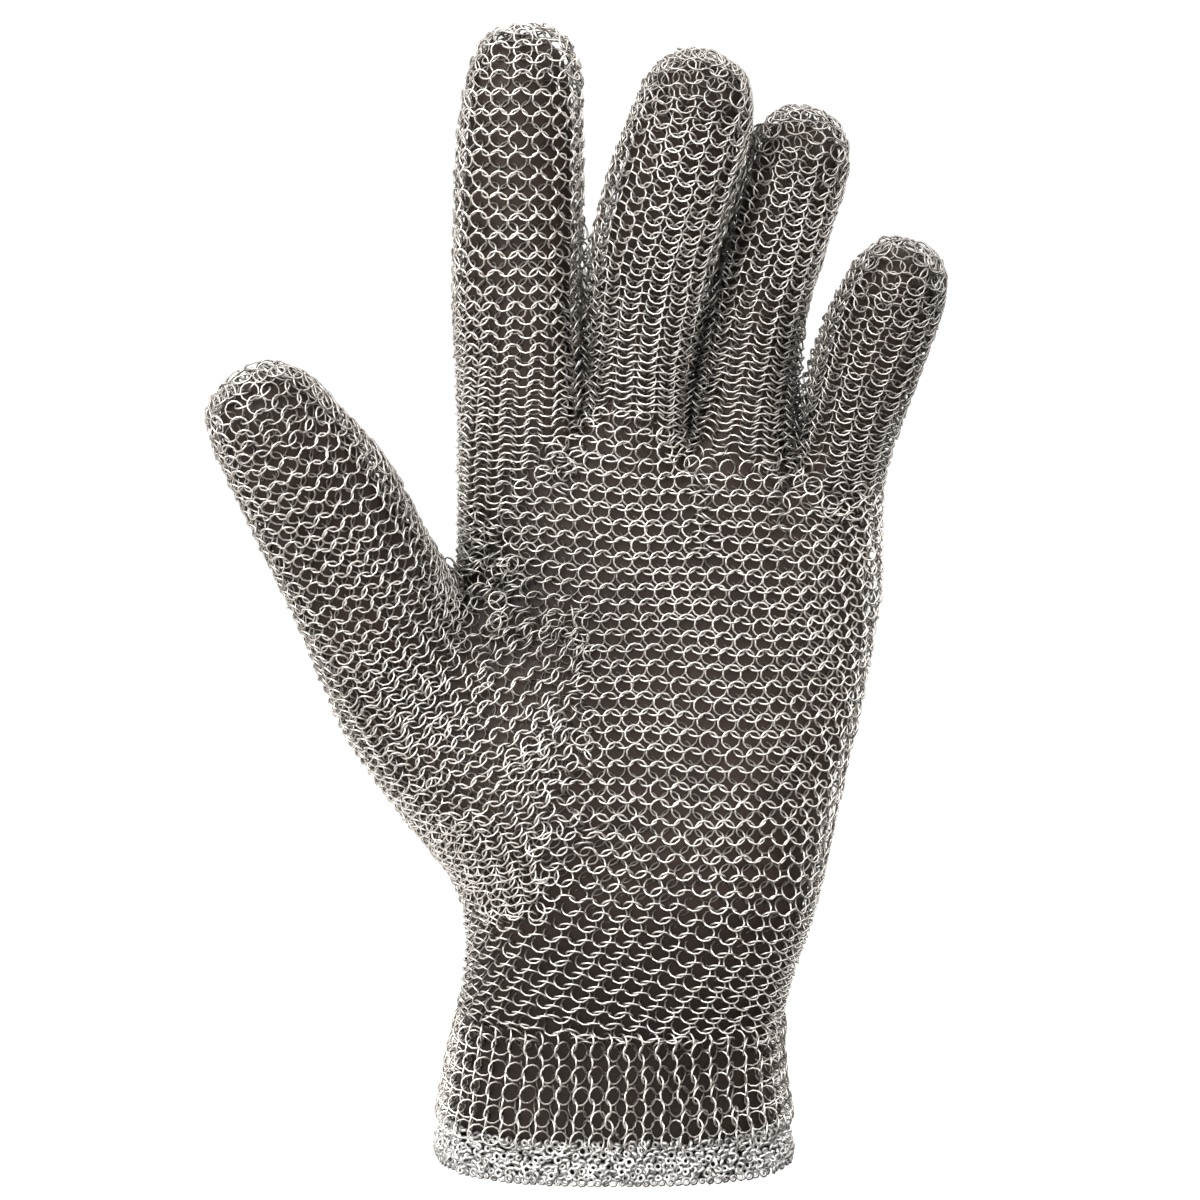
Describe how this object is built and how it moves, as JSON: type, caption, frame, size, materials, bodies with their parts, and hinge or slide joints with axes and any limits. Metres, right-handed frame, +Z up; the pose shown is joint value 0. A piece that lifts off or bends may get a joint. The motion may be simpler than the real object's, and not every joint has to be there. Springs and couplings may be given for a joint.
{
  "type": "chainmail glove",
  "caption": "Left-hand glove of fine steel ring mail over a thin dark lining, fingers slightly curled, with a short cuff and a dense hem.",
  "frame": {"origin": "middle of the wrist opening, at the lower edge of the hem", "axes": "+Z up along the fingers, palm towards -Y, thumb towards -X"},
  "size_m": [0.1527, 0.0615, 0.2405],
  "materials": {
    "ring_mail": "bright steel wire rings, slightly worn",
    "hem_mail": "dense pale steel mesh, satin",
    "lining": "thin smooth dark brown leather, satin"
  },
  "bodies": {
    "root": {"hem_mail": "hem_mail", "cuff_mail": "ring_mail", "hand_mail": "ring_mail", "thumb_mail": "ring_mail", "index_finger_mail": "ring_mail", "middle_finger_mail": "ring_mail", "ring_finger_mail": "ring_mail", "little_finger_mail": "ring_mail", "lining": "lining"}
  },
  "joints": []
}
